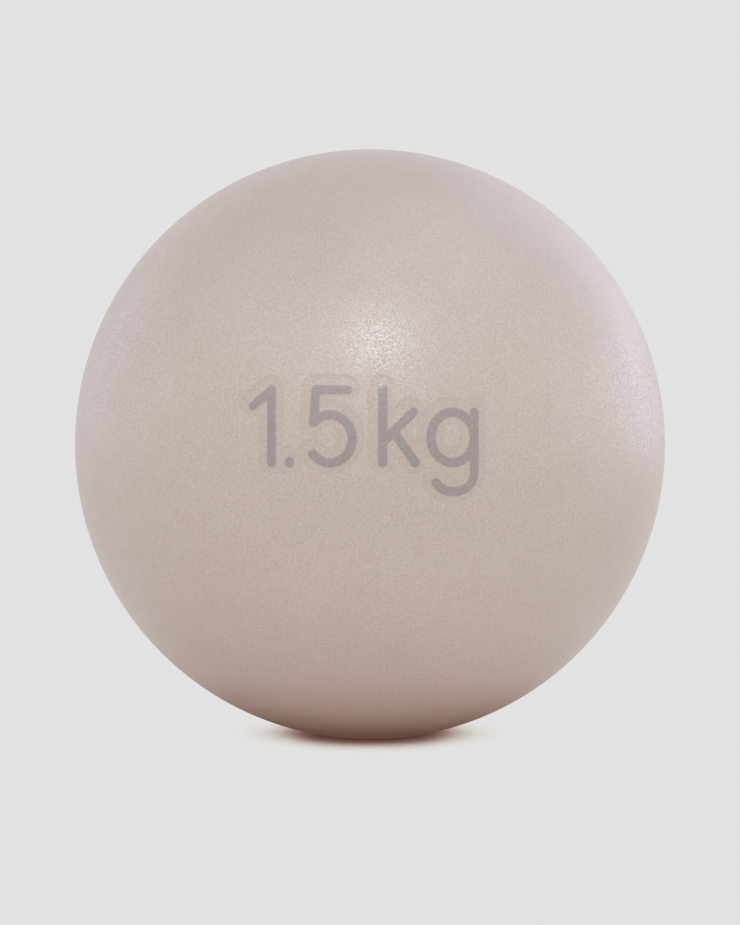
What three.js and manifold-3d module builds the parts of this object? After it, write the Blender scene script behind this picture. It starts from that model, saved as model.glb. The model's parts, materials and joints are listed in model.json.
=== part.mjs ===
// A soft weighted toning ball: one hollow moulded skin that flattens a little where it stands,
// a push-in air valve at the back, and a loose filling of iron sand.
// Millimetres, +Z up. The origin is the middle of the foot, the front faces -Y and the valve faces +Y.

import * as THREE from "three";
import { mergeVertices, toCreasedNormals } from "three/addons/utils/BufferGeometryUtils.js";
import Module from "manifold-3d";

const wasm = await Module();
wasm.setup();

// Driving dimensions of the skin
const BALL_DIAMETER = 120;
const SKIN_THICKNESS = 3;
const FOOT_DIAMETER = 20; // the flat patch that the ball's weight makes on the floor

// Driving dimensions of the valve seat, from its bore outwards
const BORE_DIAMETER = 6; // takes the pump's nozzle when the plug is out
const SEAT_WALL = 2.5; // round the bore
const FLANGE_LIP = 3.5; // how far the flange stands out of the seat's barrel
const FLANGE_THICKNESS = 2;
const FLANGE_ROUNDING = 0.4;
const BARB_HEIGHT = 1.2; // how far the barb stands out of the seat's barrel
const BARB_LENGTH = 4;
const BARB_TIP_WALL = 1.4; // round the bore, at the seat's inner end
const NOTCH_DIAMETER = 4; // a fingernail gets under the plug's head here

// Driving dimensions of the collar, the thick ring of skin that the seat snaps into
const COLLAR_MARGIN = 1; // how far the collar reaches past the flange's recess
const COLLAR_STRAIGHT = 1; // between its two round edges
const COLLAR_ROUNDING = 1; // at its inner end
const COLLAR_FLARE = 2.5; // where it grows out of the skin

// Driving dimensions of the plug
const HEAD_LIP = 1.5; // how far the head reaches past the bore
const HEAD_THICKNESS = 1;
const HEAD_ROUNDING = 0.3;
const TIP_OVERRUN = 1; // how far the tip looks out of the seat's inner end
const TIP_DIAMETER = 3.2;
const TIP_TAPER = 2.5;
const RIB_COUNT = 3; // sealing ribs, spread over the shank
const RIB_HEIGHT = 0.25;
const RIB_WIDTH = 1.2;

// Driving dimension of the filling
const SAND_DEPTH = 69; // from the inside of the foot to the level of the settled sand

// Clearances
const FIT_GAP = 0.3; // between pieces that touch on the real ball
const CUT_OVERRUN = 1; // how far a cutting body reaches past what it cuts

// Fineness of the round surfaces. A quarter circle gets twice as many steps as its divisions say.
const BALL_SEGMENTS = 64;
const BALL_DIVISIONS = 8;
const CAVITY_SEGMENTS = 48;
const CAVITY_DIVISIONS = 6;
const VALVE_SEGMENTS = 40;
const VALVE_DIVISIONS = 3;
const NOTCH_SEGMENTS = 20;
const CREASE = Math.PI / 8; // edges sharper than this stay sharp when the ball is shaded

// The ball, from its centre
const ballRadius = BALL_DIAMETER / 2;
const footRadius = FOOT_DIAMETER / 2;
const centreHeight = Math.sqrt(ballRadius ** 2 - footRadius ** 2); // above the floor
const cavityRadius = ballRadius - SKIN_THICKNESS;
const cavityDrop = centreHeight - SKIN_THICKNESS; // down to the inside of the foot
const cavityClear = cavityRadius * Math.cos(Math.PI / CAVITY_SEGMENTS) ** 2; // to the middle of its facets

// The valve, from its axis outwards
const boreRadius = BORE_DIAMETER / 2;
const barrelRadius = boreRadius + SEAT_WALL;
const barbRadius = barrelRadius + BARB_HEIGHT;
const flangeRadius = barrelRadius + FLANGE_LIP;
const headRadius = boreRadius + HEAD_LIP;
const headSeatRadius = headRadius + FIT_GAP;
const portRadius = barrelRadius + FIT_GAP;
const recessRadius = flangeRadius + FIT_GAP;
const collarRadius = recessRadius + COLLAR_MARGIN;
const flareRadius = collarRadius + COLLAR_FLARE;

// The valve, along its axis, from the ball's centre outwards
const flangeUnderside = alongAxis(ballRadius, flangeRadius) - FLANGE_THICKNESS;
const recessFloor = flangeUnderside - FIT_GAP;
const flareStart = alongAxis(cavityRadius, flareRadius) - COLLAR_FLARE;
const collarEnd = flareStart - COLLAR_STRAIGHT - COLLAR_ROUNDING;
const barbTop = collarEnd - FIT_GAP;
const seatEnd = barbTop - BARB_LENGTH;
const headUnderside = alongAxis(ballRadius, headRadius) - HEAD_THICKNESS;
const headSeatFloor = headUnderside - FIT_GAP;
const plugTip = seatEnd - TIP_OVERRUN;

// How far along the valve's axis a sphere about the ball's centre lies, at a distance from that axis.
function alongAxis(sphereRadius, distance) {
  return Math.sqrt(sphereRadius ** 2 - distance ** 2);
}

// The angle on the ball, from its equator about the valve, at a distance from the valve's axis.
function angleOnBall(distance) {
  return Math.acos(distance / ballRadius);
}

// A closed geometry as a solid that can be joined and cut.
function solidOf(geometry) {
  const bare = geometry.clone();
  bare.deleteAttribute("normal");
  bare.deleteAttribute("uv");
  const merged = mergeVertices(bare);
  return new wasm.Manifold(
    new wasm.Mesh({
      numProp: 3,
      vertProperties: merged.attributes.position.array,
      triVerts: new Uint32Array(merged.index.array),
    }),
  );
}

// A solid as a geometry, smooth on its round faces and sharp at its edges.
function geometryOf(solid) {
  const { vertProperties, triVerts } = solid.getMesh();
  const geometry = new THREE.BufferGeometry();
  geometry.setAttribute("position", new THREE.BufferAttribute(vertProperties, 3));
  geometry.setIndex(new THREE.BufferAttribute(triVerts, 1));
  return toCreasedNormals(geometry, CREASE);
}

// A ball cut flat at the bottom, that far below its centre, turned about the upright axis.
function flattenedBall(radius, drop, divisions, segments) {
  const rim = Math.sqrt(radius ** 2 - drop ** 2);
  const profile = new THREE.Path()
    .moveTo(0, -drop)
    .lineTo(rim, -drop)
    .absarc(0, 0, radius, -Math.asin(drop / radius), 0)
    .absarc(0, 0, radius, 0, Math.PI / 2);
  return new THREE.LatheGeometry(profile.getPoints(divisions), segments).rotateX(Math.PI / 2);
}

// A profile turned about the valve's axis, which is the lathe's own Y axis.
function turned(profile, divisions = VALVE_DIVISIONS, segments = VALVE_SEGMENTS) {
  return new THREE.LatheGeometry(profile.getPoints(divisions), segments);
}

// The ring of skin that stands inwards round the port, rounded at its end and flared at its root.
function collar() {
  const edge = collarRadius - COLLAR_ROUNDING;
  return turned(
    new THREE.Path()
      .moveTo(0, collarEnd)
      .lineTo(edge, collarEnd)
      .absarc(edge, collarEnd + COLLAR_ROUNDING, COLLAR_ROUNDING, -Math.PI / 2, 0)
      .absarc(flareRadius, flareStart, COLLAR_FLARE, Math.PI, Math.PI / 2, true)
      .lineTo(flareRadius, ballRadius)
      .lineTo(0, ballRadius),
  );
}

// What is cut out of the skin and the collar for the valve seat: its recess and its port.
function port() {
  return turned(
    new THREE.Path()
      .moveTo(0, collarEnd - CUT_OVERRUN)
      .lineTo(portRadius, collarEnd - CUT_OVERRUN)
      .lineTo(portRadius, recessFloor)
      .lineTo(recessRadius, recessFloor)
      .lineTo(recessRadius, ballRadius + CUT_OVERRUN)
      .lineTo(0, ballRadius + CUT_OVERRUN),
  );
}

// The skin: an even wall, flat inside and out at the foot, with the collar and the port at the back.
function shell() {
  const outside = solidOf(flattenedBall(ballRadius, centreHeight, BALL_DIVISIONS, BALL_SEGMENTS));
  const cavity = solidOf(flattenedBall(cavityRadius, cavityDrop, CAVITY_DIVISIONS, CAVITY_SEGMENTS));
  const ring = solidOf(collar()).intersect(outside);
  return geometryOf(outside.subtract(cavity).add(ring).subtract(solidOf(port())));
}

// The seat: a domed flange flush with the ball, a barrel through the port and a barb behind the collar.
function valveSeat() {
  const edge = flangeRadius - FLANGE_ROUNDING;
  const edgeHeight = alongAxis(ballRadius, edge) - FLANGE_ROUNDING;
  const body = turned(
    new THREE.Path()
      .moveTo(boreRadius, seatEnd)
      .lineTo(boreRadius + BARB_TIP_WALL, seatEnd)
      .lineTo(barbRadius, barbTop - BARB_HEIGHT)
      .lineTo(barbRadius, barbTop)
      .lineTo(barrelRadius, barbTop)
      .lineTo(barrelRadius, flangeUnderside)
      .lineTo(flangeRadius, flangeUnderside)
      .absarc(edge, edgeHeight, FLANGE_ROUNDING, 0, Math.PI / 2)
      .absarc(0, 0, ballRadius, angleOnBall(edge), angleOnBall(headSeatRadius))
      .lineTo(headSeatRadius, headSeatFloor)
      .lineTo(boreRadius, headSeatFloor)
      .lineTo(boreRadius, seatEnd),
  );
  const notchRadius = NOTCH_DIAMETER / 2;
  const notchHeight = ballRadius + CUT_OVERRUN - headSeatFloor;
  const notch = new THREE.CylinderGeometry(notchRadius, notchRadius, notchHeight, NOTCH_SEGMENTS);
  notch.translate(0, headSeatFloor + notchHeight / 2, headSeatRadius);
  return geometryOf(solidOf(body).subtract(solidOf(notch)));
}

// The plug: a domed head flush with the ball, and a shank with sealing ribs that tapers to its tip.
function valvePlug() {
  const ribRadius = boreRadius - FIT_GAP;
  const shankRadius = ribRadius - RIB_HEIGHT;
  const taperEnd = plugTip + TIP_TAPER;
  const ribPitch = (headUnderside - taperEnd) / (RIB_COUNT + 1);
  const profile = new THREE.Path()
    .moveTo(0, plugTip)
    .lineTo(TIP_DIAMETER / 2, plugTip)
    .lineTo(shankRadius, taperEnd);
  for (let rib = 1; rib <= RIB_COUNT; rib += 1) {
    const middle = taperEnd + rib * ribPitch;
    profile
      .lineTo(shankRadius, middle - RIB_WIDTH / 2)
      .lineTo(ribRadius, middle)
      .lineTo(shankRadius, middle + RIB_WIDTH / 2);
  }
  const edge = headRadius - HEAD_ROUNDING;
  const edgeHeight = alongAxis(ballRadius, edge) - HEAD_ROUNDING;
  profile
    .lineTo(shankRadius, headUnderside)
    .lineTo(headRadius, headUnderside)
    .absarc(edge, edgeHeight, HEAD_ROUNDING, 0, Math.PI / 2)
    .absarc(0, 0, ballRadius, angleOnBall(edge), Math.PI / 2);
  return turned(profile);
}

// The sand: it fills the cavity up to its level, and stays clear of the collar and the valve.
// Its belt reaches no lower than the inside of the foot, so that it can roll round in the flattened skin.
function sandFilling() {
  const sandRadius = cavityClear - FIT_GAP;
  const beltAngle = Math.acos((cavityDrop - FIT_GAP) / sandRadius);
  const pocketRadius = flareRadius + FIT_GAP;
  const pocketAngle = Math.acos(pocketRadius / sandRadius);
  const pocketFloor = plugTip - FIT_GAP;
  const full = turned(
    new THREE.Path()
      .moveTo(0, -sandRadius)
      .absarc(0, 0, sandRadius, -Math.PI / 2, -beltAngle)
      .absarc(0, 0, sandRadius, beltAngle, pocketAngle)
      .lineTo(pocketRadius, pocketFloor)
      .lineTo(0, pocketFloor),
    CAVITY_DIVISIONS,
    CAVITY_SEGMENTS,
  );
  const level = SAND_DEPTH - cavityDrop;
  const air = new THREE.BoxGeometry(BALL_DIAMETER, BALL_DIAMETER, BALL_DIAMETER);
  air.translate(0, 0, level + BALL_DIAMETER / 2);
  return geometryOf(solidOf(full).subtract(solidOf(air)));
}

// Finishes
const softVinyl = new THREE.MeshStandardMaterial({ color: 0xc6b8b0, roughness: 0.55, metalness: 0 });
const seatVinyl = new THREE.MeshStandardMaterial({ color: 0xb9aaa3, roughness: 0.5, metalness: 0 });
const plugVinyl = new THREE.MeshStandardMaterial({ color: 0xa69893, roughness: 0.45, metalness: 0 });
const ironSand = new THREE.MeshStandardMaterial({ color: 0x4a433f, roughness: 0.85, metalness: 0.1 });

function piece(name, geometry, material) {
  const mesh = new THREE.Mesh(geometry, material);
  mesh.name = name;
  return mesh;
}

// Assembly: every piece is made about the ball's centre, which stands above the floor.
const ball = new THREE.Group();
ball.position.z = centreHeight;
ball.add(
  piece("shell", shell(), softVinyl),
  piece("valve_seat", valveSeat(), seatVinyl),
  piece("valve_plug", valvePlug(), plugVinyl),
  piece("sand_filling", sandFilling(), ironSand),
);

const toningBall = new THREE.Group();
toningBall.add(ball);

export default toningBall;
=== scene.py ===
# %% [markdown]
# # A soft weighted toning ball
# The real object is a hollow ball of soft vinyl, part-filled with iron sand, that rests in one hand.
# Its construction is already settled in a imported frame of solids: metres, Z up, the origin under the foot.
# This lesson makes the looks on top of that frame: the moulded skin with its printed weight mark, the air
# valve at the back and the sand inside. Each piece rides on one body of the frame, so it moves as it should.

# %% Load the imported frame
import json
import math

import bpy
import numpy as np
from mathutils import Matrix, Vector


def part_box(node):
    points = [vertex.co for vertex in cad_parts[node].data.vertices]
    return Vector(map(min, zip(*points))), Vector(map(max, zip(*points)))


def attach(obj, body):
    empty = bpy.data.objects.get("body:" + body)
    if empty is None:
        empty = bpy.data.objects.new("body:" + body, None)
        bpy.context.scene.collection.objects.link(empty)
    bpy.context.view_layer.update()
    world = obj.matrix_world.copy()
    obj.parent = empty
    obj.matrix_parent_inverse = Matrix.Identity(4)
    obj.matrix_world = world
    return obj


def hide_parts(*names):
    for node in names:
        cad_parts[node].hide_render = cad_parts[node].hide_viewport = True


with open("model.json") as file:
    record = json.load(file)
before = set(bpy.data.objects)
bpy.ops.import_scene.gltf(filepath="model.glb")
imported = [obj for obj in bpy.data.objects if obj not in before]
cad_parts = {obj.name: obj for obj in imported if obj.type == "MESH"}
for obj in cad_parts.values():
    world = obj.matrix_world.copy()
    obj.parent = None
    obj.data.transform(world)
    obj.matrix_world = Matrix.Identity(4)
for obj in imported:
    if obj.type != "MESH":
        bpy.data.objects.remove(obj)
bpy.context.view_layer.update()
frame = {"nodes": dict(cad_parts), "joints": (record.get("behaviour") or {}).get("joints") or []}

print("nodes of the frame:", ", ".join(sorted(frame["nodes"])))

# %% [markdown]
# ## Sizes
# The frame gives every outer size, so they are read from it and not written down again. No box shows the
# wall and the fit, so they are named here.

# %% Sizes of the ball and its valve
MM = 0.001
SKIN_WALL = 3 * MM
FIT_GAP = 0.3 * MM  # between the pieces of the valve

shell_low, shell_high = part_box("shell")
seat_low, seat_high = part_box("valve_seat")
plug_low, plug_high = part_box("valve_plug")
sand_low, sand_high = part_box("sand_filling")
sand_joint = next(joint for joint in frame["joints"] if joint["name"] == "sand_roll")

CENTRE = Vector(sand_joint["pos_m"])
BALL_RADIUS = (shell_high.x - shell_low.x) / 2
FLANGE_RADIUS = (seat_high.x - seat_low.x) / 2
HEAD_RADIUS = (plug_high.x - plug_low.x) / 2
print("ball radius", round(BALL_RADIUS / MM, 2), "mm, centre", round(CENTRE.z / MM, 2), "mm above the floor")

# %% [markdown]
# ## Tools for turned pieces
# The pieces of this ball are turned about one axis, the valve's, which runs along Y through its centre.
# Blender's Spin tool could do that, but it leaves doubled points at the poles and a seam to merge.
# A class that adds ring after ring gives closed meshes whose faces all point outwards.

# %% A mesh that grows ring by ring
START_TURN = math.radians(225)  # where each ring starts, the corner of the fine patch on the ball's front


class Turning:
    """A mesh about the valve's axis. Profiles run so that the material lies on the left of their path."""

    def __init__(self):
        self.points = []
        self.faces = []
        self.edge = []  # the points of the last ring

    def add_points(self, points):
        first = len(self.points)
        self.points.extend(points)
        return list(range(first, len(self.points)))

    def rings(self, profile, count):
        """Add rings, each at a distance from the axis and as far along it from the ball's centre."""
        turns = START_TURN + np.arange(count) * (2 * math.pi / count)
        for distance, along in profile:
            across = distance * np.cos(turns)
            up = CENTRE.z + distance * np.sin(turns)
            self.join(self.add_points([(x, along, z) for x, z in zip(across, up)]))

    def join(self, ring):
        """Close the gap between the last ring and one with as many points, or half as many."""
        count = len(ring)
        old = self.edge
        for here in range(count):
            ahead = (here + 1) % count
            if len(old) == count:
                self.faces.append((old[here], ring[here], ring[ahead], old[ahead]))
            elif len(old) == 2 * count:
                first, middle, last = old[2 * here], old[2 * here + 1], old[2 * ahead]
                self.faces.append((first, ring[here], middle))
                self.faces.append((middle, ring[here], ring[ahead]))
                self.faces.append((middle, ring[ahead], last))
        self.edge = ring


print("rings start", round(math.degrees(START_TURN)), "degrees round the valve's axis")


# %% Closed ends, and the step from points to a piece
def close_pole(shape, along):
    """End a turned shape in a point on the axis."""
    pole = shape.add_points([(0, along, CENTRE.z)])[0]
    for here, point in enumerate(shape.edge):
        shape.faces.append((point, pole, shape.edge[(here + 1) % len(shape.edge)]))


def closed_body(name, first_along, profile, last_along, count):
    """A turned piece that starts and ends in a point on the axis."""
    shape = Turning()
    pole = shape.add_points([(0, first_along, CENTRE.z)])[0]
    shape.rings(profile[:1], count)
    for here, point in enumerate(shape.edge):
        shape.faces.append((pole, point, shape.edge[(here + 1) % count]))
    shape.rings(profile[1:], count)
    close_pole(shape, last_along)
    return new_piece(name, shape.points, shape.faces)


def new_object(name, data):
    thing = bpy.data.objects.new(name, data)
    bpy.context.scene.collection.objects.link(thing)
    return thing


def new_piece(name, points, faces, edges=()):
    """An object at the origin, with its place in its mesh."""
    mesh = bpy.data.meshes.new(name)
    mesh.from_pydata(points, edges, faces)
    mesh.update()
    return new_object(name, mesh)


def count_triangles(piece):
    piece.data.calc_loop_triangles()
    return len(piece.data.loop_triangles)


# %% Rounded profiles
ROUNDING_STEPS = 5


def rounded(corners):
    """A profile's points. Each corner is a distance, a place along the axis and a radius to round it by."""
    points = []
    for number, (distance, along, radius) in enumerate(corners):
        corner = Vector((distance, along))
        if radius == 0:
            points.append(corner)
            continue
        back = (Vector(corners[number - 1][:2]) - corner).normalized()
        ahead = (Vector(corners[(number + 1) % len(corners)][:2]) - corner).normalized()
        half_angle = back.angle(ahead) / 2
        middle = corner + (back + ahead).normalized() * (radius / math.sin(half_angle))
        reach = radius / math.tan(half_angle)
        start = corner + back * reach - middle
        turn = -start.angle_signed(corner + ahead * reach - middle)
        for step in range(ROUNDING_STEPS + 1):
            points.append(middle + Matrix.Rotation(turn * step / ROUNDING_STEPS, 2) @ start)
    return points


def on_sphere(distance, radius=BALL_RADIUS):
    """How far along the axis a sphere about the ball's centre lies, at a distance from the axis."""
    return math.sqrt(radius**2 - distance**2)


def dome(first_distance, last_distance, steps):
    """Corners without rounding on the ball's own curve, between two distances from the axis."""
    distances = np.linspace(first_distance, last_distance, steps + 1)
    return [(distance, on_sphere(distance), 0) for distance in distances]


print("the flange's rim lies", round(on_sphere(FLANGE_RADIUS) / MM, 2), "mm behind the centre")

# %% [markdown]
# ## Tools for node trees
# Geometry trees and shader groups are built the same way: sockets first, then nodes that take either a value
# or another node's output on each input. A geometry tree is run once and its result kept as a plain mesh.


# %% Trees and nodes in code
def new_tree(name, kind, inputs, outputs):
    """An empty node tree with named sockets. Gives the tree, what comes in and what goes out."""
    tree = bpy.data.node_groups.new(name, kind)
    for side, sockets in (("INPUT", inputs), ("OUTPUT", outputs)):
        for socket_name, socket_kind in sockets.items():
            tree.interface.new_socket(socket_name, in_out=side, socket_type="NodeSocket" + socket_kind)
    coming_in = tree.nodes.new("NodeGroupInput").outputs
    going_out = tree.nodes.new("NodeGroupOutput").inputs
    return tree, coming_in, going_out


def add_node(tree, kind, inputs=(), **settings):
    """One node, a shader's unless its kind says Node. Inputs, by name or number, are sockets or values.
    Gives the node's outputs."""
    node = tree.nodes.new(kind if "Node" in kind else "ShaderNode" + kind)
    for name, value in settings.items():
        setattr(node, name, value)
    for name, value in dict(inputs).items():
        if isinstance(value, bpy.types.NodeSocket):
            tree.links.new(value, node.inputs[name])
        else:
            node.inputs[name].default_value = value
    return node.outputs


print("node trees so far:", len(bpy.data.node_groups))


# %% Sums on numbers and places
def maths(tree, operation, first, second=0.0, third=0.0):
    return add_node(tree, "Math", {0: first, 1: second, 2: third}, operation=operation)[0]


def vector_maths(tree, operation, inputs):
    return add_node(tree, "VectorMath", inputs, operation=operation)


def parts_of(tree, vector):
    return add_node(tree, "SeparateXYZ", {0: vector})


def spread(tree, value, low, high, to_low=0.0, to_high=1.0):
    """A value between two limits, eased in and out, as a value between two others."""
    limits = {"Value": value, "From Min": low, "From Max": high, "To Min": to_low, "To Max": to_high}
    return add_node(tree, "MapRange", limits, interpolation_type="SMOOTHSTEP")["Result"]


def attribute(tree, name):
    """A number that the mesh carries at each of its points."""
    if tree.type == "GEOMETRY":
        return add_node(tree, "GeometryNodeInputNamedAttribute", {"Name": name})[0]
    return add_node(tree, "Attribute", attribute_name=name)["Fac"]


print("made the sums that geometry trees and materials share")


# %% Running a geometry tree
def passed(tree, kind, geometry, inputs=(), **settings):
    """One node that geometry passes through."""
    inputs = {"Geometry": geometry, **dict(inputs)}
    return add_node(tree, "GeometryNode" + kind, inputs, **settings)[0]


def apply_modifiers(piece):
    """Turn what the modifiers make of a piece into its own plain mesh."""
    depsgraph = bpy.context.evaluated_depsgraph_get()
    made = piece.evaluated_get(depsgraph)
    mesh = bpy.data.meshes.new_from_object(made, preserve_all_data_layers=True, depsgraph=depsgraph)
    plain = piece.data
    piece.modifiers.clear()
    piece.data = mesh
    bpy.data.meshes.remove(plain)


def run_tree(piece, tree, values):
    """Run a geometry tree on a piece, with its inputs given by name."""
    modifier = piece.modifiers.new(tree.name, "NODES")
    modifier.node_group = tree
    for socket in tree.interface.items_tree:
        if socket.in_out == "INPUT" and socket.name in values:
            modifier[socket.identifier] = values[socket.name]
    apply_modifiers(piece)


print("made the run of a tree, which leaves a plain mesh")

# %% [markdown]
# ## The grain of moulded vinyl
# A mould for soft vinyl is blasted with grit, so the skin comes out with a fine, even grain that breaks up
# the highlight, and with faint clouds where the colour has mixed unevenly. Three pieces are moulded
# that way, so the grain is one shader group with its sizes as inputs.

# %% Shader group: moulded grain
NOISE_LOW = 0.25  # most of a noise texture's values lie between these two
NOISE_HIGH = 0.75

grain_group, grain_in, grain_out = new_tree(
    "moulded_grain",
    "ShaderNodeTree",
    {"Place": "Vector", "Grain size": "Float", "Cloud size": "Float"},
    {"Height": "Float", "Clouds": "Float"},
)


def grain_noise(size_name, output_name, detail, roughness):
    scale = maths(grain_group, "DIVIDE", 1.0, grain_in[size_name])
    inputs = {"Vector": grain_in["Place"], "Scale": scale, "Detail": detail, "Roughness": roughness}
    noise = add_node(grain_group, "TexNoise", inputs)
    level = spread(grain_group, noise[0], NOISE_LOW, NOISE_HIGH)
    grain_group.links.new(level, grain_out[output_name])


grain_noise("Grain size", "Height", detail=2.0, roughness=0.6)
grain_noise("Cloud size", "Clouds", detail=3.0, roughness=0.5)
print("shader group:", grain_group.name, "with", len(grain_group.nodes), "nodes")


# %% Helpers for materials
def linear(red, green, blue):
    """A colour as a screen shows it, 0 to 255, as the shader needs it."""
    parts = [value / 255 for value in (red, green, blue)]
    return [part / 12.92 if part < 0.04045 else ((part + 0.055) / 1.055) ** 2.4 for part in parts] + [1.0]


def new_material(name):
    material = bpy.data.materials.new(name)
    material.use_nodes = True
    material.node_tree.nodes.clear()
    print("material:", name)
    return material, material.node_tree


def object_place(tree):
    return add_node(tree, "TexCoord")["Object"]


def blended(tree, factor, first, second, way="MIX"):
    """Two colours, mixed by a mask."""
    inputs = {0: factor, 6: first, 7: second}
    return add_node(tree, "Mix", inputs, data_type="RGBA", blend_type=way)[2]


def bumped(tree, height, distance, strength=1.0):
    inputs = {"Height": height, "Strength": strength, "Distance": distance}
    return add_node(tree, "Bump", inputs)[0]


def grain_of(tree, grain_size, cloud_size):
    """Height and clouds of the moulded grain, in this material's own sizes."""
    inputs = {"Place": object_place(tree), "Grain size": grain_size, "Cloud size": cloud_size}
    grain = add_node(tree, "Group", inputs, node_tree=grain_group)
    return grain["Height"], grain["Clouds"]


def finish_material(tree, inputs, kind="BsdfPrincipled"):
    """The material's shader, and the node that hands it over."""
    shader = add_node(tree, kind, inputs)
    add_node(tree, "OutputMaterial", {"Surface": shader[0]})


print("a middle grey of 128 is", round(linear(128, 128, 128)[0], 3), "to a shader")

# %% [markdown]
# ## The skin's finish
# The skin is matte vinyl in a warm grey-beige. Light goes a little way into it, which warms the shaded side.
# A shiny film from the mould stays in the hollows of the grain, so the highlight is narrow and sparkles.
# The mark's ink is a darker tone of the same grey, in a shallow recess that is a touch darker and
# yellower. Thin darker lines along the recess's rim and the strokes' edges are painted shade.
# Where ink and recess lie could be painted in a picture. Here the mesh carries two attributes, how far each
# point is from the nearest stroke and from the same stroke moved to the recess's place.

# %% Colour of the skin
SKIN_PALE = linear(209, 190, 182)  # in the hollows of the grain
SKIN_DEEP = linear(187, 166, 157)  # on its tops
SKIN_GRAIN = 0.4 * MM
SKIN_CLOUDS = 14 * MM
GRAIN_SHARE = 0.88
CLOUD_SHARE = 0.12

skin_material, tree = new_material("soft_vinyl_skin")
grain_height, grain_clouds = grain_of(tree, SKIN_GRAIN, SKIN_CLOUDS)
cloud_tone = maths(tree, "MULTIPLY", grain_clouds, CLOUD_SHARE)
skin_tone = maths(tree, "MULTIPLY_ADD", grain_height, GRAIN_SHARE, cloud_tone)
skin_colour = blended(tree, skin_tone, SKIN_PALE, SKIN_DEEP)
print("skin: grain of", SKIN_GRAIN / MM, "mm and clouds of", SKIN_CLOUDS / MM, "mm")

# %% Colour of the mark
STROKE_WIDTH = 1.7 * MM
RECESS_MARGIN = 1.35 * MM  # how far the recess reaches past the strokes
RECESS_EDGE = 0.5 * MM
INK_EDGE = 0.2 * MM
RECESS_TINT = (0.94, 0.935, 0.92, 1.0)  # the tints are shares of the skin's own colour
# painted shade: a thin darker line along the recess's rim, where its step would be shaded
RIM_PAINTED_SHADE = (0.95, 0.945, 0.94, 1.0)
INK_TINT = (0.625, 0.635, 0.7, 1.0)
# painted shade: a thin darker line along the edge of each stroke
STROKE_EDGE_PAINTED_SHADE = (0.91, 0.91, 0.91, 1.0)

mark_distance = attribute(tree, "mark_distance")
recess_distance = attribute(tree, "recess_distance")
rim_middle = RECESS_MARGIN + RECESS_EDGE / 2
from_rim = maths(tree, "ABSOLUTE", maths(tree, "SUBTRACT", recess_distance, rim_middle))
from_stroke_edge = maths(tree, "ABSOLUTE", mark_distance)
# the rim and stroke-edge tints are painted shade; the recess and the ink are the mark's own colour
tints = [
    (RECESS_TINT, spread(tree, recess_distance, RECESS_MARGIN + RECESS_EDGE, RECESS_MARGIN)),
    (RIM_PAINTED_SHADE, spread(tree, from_rim, RECESS_EDGE / 2, 0.0)),
    (INK_TINT, spread(tree, mark_distance, INK_EDGE, -INK_EDGE)),
    (STROKE_EDGE_PAINTED_SHADE, spread(tree, from_stroke_edge, INK_EDGE, 0.0)),
]
marked_colour = skin_colour
for tint, mask in tints:
    marked_colour = blended(tree, mask, marked_colour, tint, "MULTIPLY")
print("mark:", len(tints), "tints on the skin's own colour")

# %% Gloss, grain and depth of the skin
SKIN_RELIEF = 0.032 * MM
VINYL_DEPTHS = (1.0, 0.55, 0.4)  # how far red, green and blue light go into vinyl, against each other

finish_material(tree, {
    "Base Color": marked_colour,
    "Roughness": spread(tree, grain_height, 0.0, 1.0, 0.30, 0.45),
    "Normal": bumped(tree, grain_height, SKIN_RELIEF),
    "Coat Weight": spread(tree, grain_height, 0.3, 0.8, 0.42, 0.0),
    "Coat Roughness": 0.22,
    "IOR": 1.57,
    "Specular IOR Level": 1.0,
    "Subsurface Weight": 0.15,
    "Subsurface Radius": VINYL_DEPTHS,
    "Subsurface Scale": 3 * MM,
})
print("skin: relief of", SKIN_RELIEF / MM, "mm, in a finish of", len(tree.nodes), "nodes")

# %% [markdown]
# ## The skin as a blank
# The skin is one closed surface: the outside of the ball, the port for the valve, the collar inside and the
# hollow. A plain UV sphere would put its pole right under the mark and waste points elsewhere.
# So the front gets a square grid bent into a disc, fine enough for the edges of the mark, and the rings that
# follow grow wider apart towards the back, where they turn in and line the port.


# %% Square grids
def grid_faces(grid):
    """The faces between rows of points."""
    faces = []
    for low, high in zip(grid, grid[1:]):
        for left in range(len(low) - 1):
            faces.append((low[left], low[left + 1], high[left + 1], high[left]))
    return faces


def grid_outline(grid):
    """The points along a grid's first row, its last column, its last row and its first column."""
    last_column = [row[-1] for row in grid[:-1]]
    first_column = [row[0] for row in reversed(grid[1:])]
    return grid[0][:-1] + last_column + grid[-1][:0:-1] + first_column


def disc_place(across, up):
    """Bend a square from -1 to 1 into a disc: how far from its middle a point goes, and its turn."""
    if across == 0 and up == 0:
        return 0.0, 0.0
    if abs(across) > abs(up):
        reach, turn = across, math.pi / 4 * up / across
    else:
        reach, turn = up, math.pi / 2 - math.pi / 4 * across / up
    return (reach, turn) if reach > 0 else (-reach, turn + math.pi)


print("the square's first corner goes to", round(math.degrees(disc_place(-1, -1)[1])), "degrees")

# %% Fine patch on the front
PATCH_REACH = 30 * MM  # over the skin, from the middle of the front to the patch's rim
PATCH_CELLS = 192

skin_blank = Turning()
steps = np.linspace(-1, 1, PATCH_CELLS + 1)
patch = []
for up in steps:
    row = []
    for across in steps:
        reach, turn = disc_place(across, up)
        angle = reach * PATCH_REACH / BALL_RADIUS
        distance = BALL_RADIUS * math.sin(angle)
        along = -BALL_RADIUS * math.cos(angle)
        row.append((distance * math.cos(turn), along, CENTRE.z + distance * math.sin(turn)))
    patch.append(skin_blank.add_points(row))
skin_blank.faces += grid_faces(patch)
skin_blank.edge = grid_outline(patch)
print("front patch:", len(skin_blank.faces), "faces of", round(2 * PATCH_REACH / PATCH_CELLS / MM, 2), "mm")

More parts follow.
